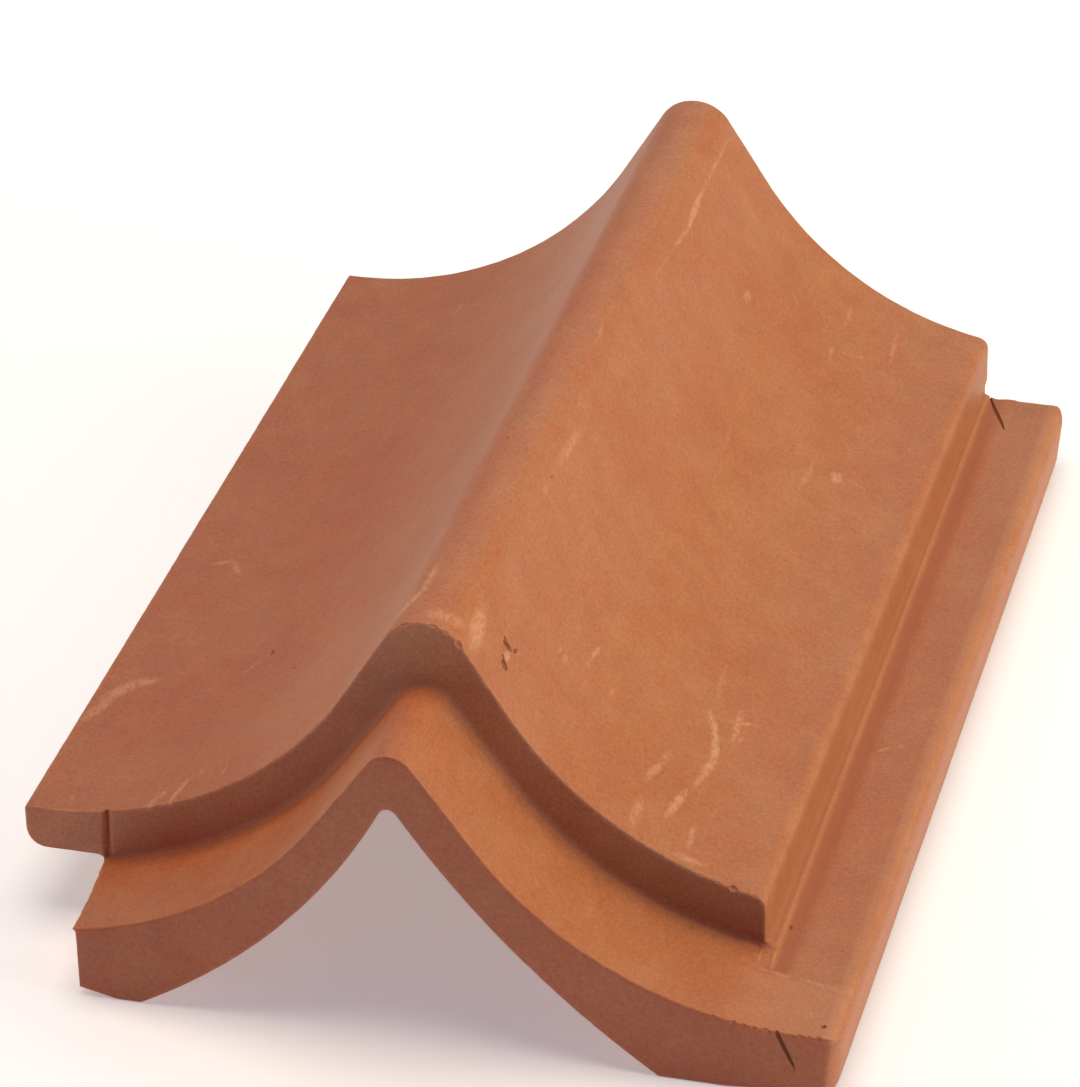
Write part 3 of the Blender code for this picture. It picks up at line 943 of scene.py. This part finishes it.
def noiseOf(tree, place, size, detail, roughness, shift):
    # Noise with features of a size in millimetres, one number or one for each direction.
    sizes = size if isinstance(size, tuple) else (size, size, size)
    spread = addNode(tree, "Mapping", {"Vector": place, "Location": (shift, shift, shift),
                                       "Scale": [1 / s for s in sizes]})
    values = {"Vector": spread.outputs[0], "Scale": 1, "Detail": detail, "Roughness": roughness}
    return addNode(tree, "TexNoise", values).outputs[0]


def easedOf(tree, value, low, high, top=1):
    values = {"Value": value, "From Min": low, "From Max": high, "To Max": top}
    return addNode(tree, "MapRange", values, interpolation_type="SMOOTHSTEP").outputs[0]


def blendOf(tree, share, first, second):
    values = {0: share, 6: first, 7: second}
    return addNode(tree, "Mix", values, data_type="RGBA").outputs[2]


def scaledOf(tree, colour, share):
    return addNode(tree, "VectorMath", {0: colour, "Scale": share}, operation="SCALE").outputs[0]


def vectorOf(tree, operation, first, second):
    return addNode(tree, "VectorMath", {0: first, 1: second}, operation=operation).outputs[0]


def attributeOf(tree, name):
    return addNode(tree, "Attribute", attribute_name=name).outputs["Fac"]


def paint(colour):
    return (*colour, 1)


def startMaterial(material):
    # The material's tree and shader, and places in millimetres.
    material.use_nodes = True
    tree = material.node_tree
    spot = addNode(tree, "TexCoord").outputs["Object"]
    return tree, tree.nodes["Principled BSDF"], vectorOf(tree, "MULTIPLY", spot, (1000, 1000, 1000))


def addBump(tree, shader, height, distance):
    bump = addNode(tree, "Bump", {"Height": height, "Distance": distance, "Strength": 1})
    tree.links.new(bump.outputs[0], shader.inputs["Normal"])


def finishBroken(material):
    # The darker, coarser clay inside pits and cracks.
    tree, shader, place = startMaterial(material)
    grain = noiseOf(tree, place, *clayNoises["broken"])
    shade = variedOf(tree, 1, grain, shadeSwings["broken"])
    tree.links.new(scaledOf(tree, clay["broken"], shade), shader.inputs["Base Color"])
    shader.inputs["Roughness"].default_value = clay["brokenRoughness"]
    addBump(tree, shader, grain, clay["brokenBump"])


def mottled(tree, noise):
    # The clay's own colour with its patches, drag marks and specks.
    patches = mathOf(tree, "MULTIPLY", noise["broad"], 0.5)
    patches = mathOf(tree, "MULTIPLY_ADD", noise["patches"], 0.5, patches)
    ramp = addNode(tree, "ValToRGB", {0: patches})
    stops = ramp.color_ramp.elements
    stops.new(0.5)
    for stop, position, colour in zip(stops, clay["colourStops"], clay["colours"]):
        stop.position = position
        stop.color = paint(colour)
    shade = variedOf(tree, 1, noise["spots"], shadeSwings["spots"])
    shade = variedOf(tree, shade, noise["drag"], shadeSwings["drag"])
    specks = variedOf(tree, 0, noise["grain"], shadeSwings["grain"])
    specks = variedOf(tree, specks, noise["sand"], shadeSwings["sand"])
    colour = scaledOf(tree, ramp.outputs[0], shade)
    return vectorOf(tree, "ADD", colour, scaledOf(tree, clay["speck"], specks))


def wearAndPaintedLight(tree, colour, noise):
    # Painted shade in the hollows, and paler arrises that are partly wear and partly a painted
    # highlight.
    # Painted shade: the hollows are darkened.
    hollow = mathOf(tree, "MULTIPLY", attributeOf(tree, "hollow"), clay["hollowShare"])
    colour = blendOf(tree, hollow, colour, paint(clay["hollow"]))
    # Paler arrises: partly wear, partly a painted highlight.
    spotted = easedOf(tree, noise["spots"], *clay["arrisShare"])
    arris = mathOf(tree, "MULTIPLY", attributeOf(tree, "arris"), spotted)
    return blendOf(tree, arris, colour, paint(clay["arris"]))


def lined(tree, colour, axes):
    # A painted highlight along the cove's foot, and painted shade in the gutter beside it.
    across, lengthwise, height = axes
    foot = surfaceForm["coveFootX"] * 1000
    middle, half = clayZones["ledge"]
    level = mathOf(tree, "COMPARE", height, ledgeZ * 1000 + middle, half)
    behind = mathOf(tree, "GREATER_THAN", lengthwise, surfaceForm["mitre"][1] * 1000)
    fromFoot = mathOf(tree, "SUBTRACT", across, foot)
    # Painted highlight along the cove's foot.
    line = mathOf(tree, "ABSOLUTE", fromFoot)
    line = mathOf(tree, "MULTIPLY_ADD", line, clay["footLineFade"], 1, clamp=True)
    line = productOf(tree, line, level, behind, clay["footLineShare"])
    colour = blendOf(tree, line, colour, paint(clay["arris"]))
    # Painted shade in the gutter beside the foot.
    sides = [easedOf(tree, fromFoot, *clayZones[side]) for side in ("gutterInner", "gutterOuter")]
    paintedGutterShade = productOf(tree, *sides, level, behind, clay["gutterShare"])
    return blendOf(tree, paintedGutterShade, colour, paint(clay["gutter"]))


def scuffsAndPaintedHighlights(tree, colour, axes, noise):
    # A pale zone at the corner, painted highlights on the rim and the upright side's foot, and the
    # scuffs.
    across, lengthwise, height = axes
    zones = clayZones
    upright = mathOf(tree, "COMPARE", across, tileForm["stepX"] * 1000, zones["uprightReach"])
    contrast, shift = zones["scuffContrast"]
    broken = mathOf(tree, "MULTIPLY_ADD", noise["scuff"], contrast, shift)
    strokes = mathOf(tree, "MULTIPLY", attributeOf(tree, "scuff"), broken)
    pale = [
        productOf(tree, easedOf(tree, across, *zones["cornerAcross"]),
                  easedOf(tree, lengthwise, *zones["cornerBehind"]),
                  mathOf(tree, "GREATER_THAN", height, zones["cornerAbove"]),
                  easedOf(tree, lengthwise, *zones["cornerFront"])),
        # painted highlight on the ledge's rim
        productOf(tree, easedOf(tree, across, *zones["rimInner"]),
                  easedOf(tree, across, *zones["rimOuter"]),
                  easedOf(tree, height, *zones["rimHeight"])),
        # painted highlight on the upright side's foot
        productOf(tree, upright, easedOf(tree, height, *zones["uprightTop"]),
                  easedOf(tree, height, *zones["uprightFoot"])),
        easedOf(tree, strokes, *zones["scuffFade"]),
    ]
    for share in pale:
        colour = blendOf(tree, share, colour, paint(clay["scuff"]))
    return colour


def paintedLightAndShade(tree, colour, axes):
    # Painted shade on the end faces and the left wing, and painted light and shade on the shoulder's
    # face.
    across, lengthwise, height = axes
    zones = clayZones
    # Painted shade on the end faces.
    ends = [backY * 1000 + limit for limit in zones["cutEnd"]]
    endShade = easedOf(tree, mathOf(tree, "ABSOLUTE", lengthwise), *ends)
    colour = blendOf(tree, endShade, colour, vectorOf(tree, "MULTIPLY", colour, clay["cutEnd"]))
    # Painted shade on the left wing.
    left = easedOf(tree, across, *zones["leftWing"])
    colour = blendOf(tree, left, colour, vectorOf(tree, "MULTIPLY", colour, clay["leftWing"]))
    # Painted light on the shoulder's face at the left, painted shade at the right.
    sides = [paint(side) for side in clay["stepFace"]]
    tint = blendOf(tree, easedOf(tree, across, *zones["stepSides"]), *sides)
    fromStep = mathOf(tree, "ABSOLUTE", mathOf(tree, "SUBTRACT", lengthwise, shoulderY * 1000))
    onStep = productOf(tree, easedOf(tree, fromStep, *zones["stepDepth"]),
                       easedOf(tree, across, *zones["stepAcross"]),
                       easedOf(tree, height, *zones["stepHeight"]))
    return blendOf(tree, onStep, colour, vectorOf(tree, "MULTIPLY", colour, tint))


def reliefOf(tree, noise):
    # The heights of the fine grain, in millimetres.
    relief = 0
    for name, height in clay["heights"].items():
        relief = mathOf(tree, "MULTIPLY_ADD", noise[name], height / clay["noiseSwing"], relief)
    return relief


def finishClay(material):
    tree, shader, place = startMaterial(material)
    axes = addNode(tree, "SeparateXYZ", {0: place}).outputs
    noise = {name: noiseOf(tree, place, *clayNoises[name]) for name in clayNoises if name != "broken"}
    colour = mottled(tree, noise)
    colour = wearAndPaintedLight(tree, colour, noise)
    colour = lined(tree, colour, axes)
    colour = scuffsAndPaintedHighlights(tree, colour, axes, noise)
    colour = paintedLightAndShade(tree, colour, axes)
    tree.links.new(colour, shader.inputs["Base Color"])
    rough = variedOf(tree, clay["roughness"], noise["spots"], clay["roughnessSwing"])
    tree.links.new(rough, shader.inputs["Roughness"])
    addBump(tree, shader, reliefOf(tree, noise), 0.001)


finishClay(terracotta)
finishBroken(brokenClay)
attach(tile, "root")
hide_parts("ridge_tile")
print("clay finished")

# Each lamp has a direction, a power in watts and a colour; all are discs that face the tile.
studio = {
    "distance": 2.0,
    "size": 1.5,
    "aim": (0, 0, 0.05),
    "floor": (0.86, 0.88, 0.95),
    "floorSize": 8,
    "floorRoughness": 0.9,
    "floorGlow": 0.3,
    "air": (0.030, 0.027, 0.150),
    "lamps": {
        "rightLow": ((1, 0, 0.35), 19.5, (1, 1, 0.66)),
        "rightBack": ((0.7, 0.7, 0.7), 7.0, (1, 0.6, 0.1)),
        "top": ((0, 0, 1), 25.0, (1, 0.83, 0.62)),
        "left": ((-1, 0, 0.7), 11.0, (1, 0.75, 0.31)),
        "back": ((0, 1, 0.6), 5.0, (0, 1, 1)),
        "leftBack": ((-0.7, 0.7, 0.7), 3.5, (0.15, 0.8, 1)),
    },
}


def addLamp(name, direction, power, colour):
    towards = Vector(direction).normalized()
    data = bpy.data.lights.new(name, "AREA")
    data.shape = "DISK"
    data.size = studio["size"]
    data.energy = power
    data.color = colour
    lamp = bpy.data.objects.new(name, data)
    lamp.location = Vector(studio["aim"]) + towards * studio["distance"]
    lamp.rotation_euler = towards.to_track_quat("Z", "Y").to_euler()
    bpy.context.scene.collection.objects.link(lamp)


deselectAll()
bpy.ops.mesh.primitive_plane_add(size=studio["floorSize"])
floor = bpy.context.active_object
floor.name = "floor"
paper = bpy.data.materials.new("paper")
paper.use_nodes = True
paperLook = {
    "Base Color": paint(studio["floor"]),
    "Roughness": studio["floorRoughness"],
    "Emission Color": (1, 1, 1, 1),
    "Emission Strength": studio["floorGlow"],
}
for key, value in paperLook.items():
    paper.node_tree.nodes["Principled BSDF"].inputs[key].default_value = value
floor.data.materials.append(paper)
for name, (direction, power, colour) in studio["lamps"].items():
    addLamp(name, direction, power, colour)
world = bpy.data.worlds.new("studio")
bpy.context.scene.world = world
world.use_nodes = True
air = world.node_tree.nodes["Background"]
air.inputs["Color"].default_value = paint(studio["air"])
air.inputs["Strength"].default_value = 1
bpy.context.scene.view_settings.view_transform = "Standard"
print("studio lit")

cameraView = {
    "place": (0.39389, -1.44953, 0.97533),
    "towards": (-0.227449, 0.823215, -0.520177),
    "roll": 1.36,
    "lens": 174.87,
}


def addCamera():
    lookAlong = Vector(cameraView["towards"])
    level = lookAlong.cross(Vector((0, 0, 1))).normalized()
    down = lookAlong.cross(level)
    roll = math.radians(cameraView["roll"])
    imageRight = math.cos(roll) * level + math.sin(roll) * down
    imageDown = math.cos(roll) * down - math.sin(roll) * level
    data = bpy.data.cameras.new("camera")
    data.lens = cameraView["lens"]
    camera = bpy.data.objects.new("camera", data)
    bpy.context.scene.collection.objects.link(camera)
    turned = Matrix((imageRight, -imageDown, -lookAlong)).transposed().to_4x4()
    camera.matrix_world = Matrix.Translation(cameraView["place"]) @ turned
    bpy.context.scene.camera = camera


addCamera()
deselectAll()
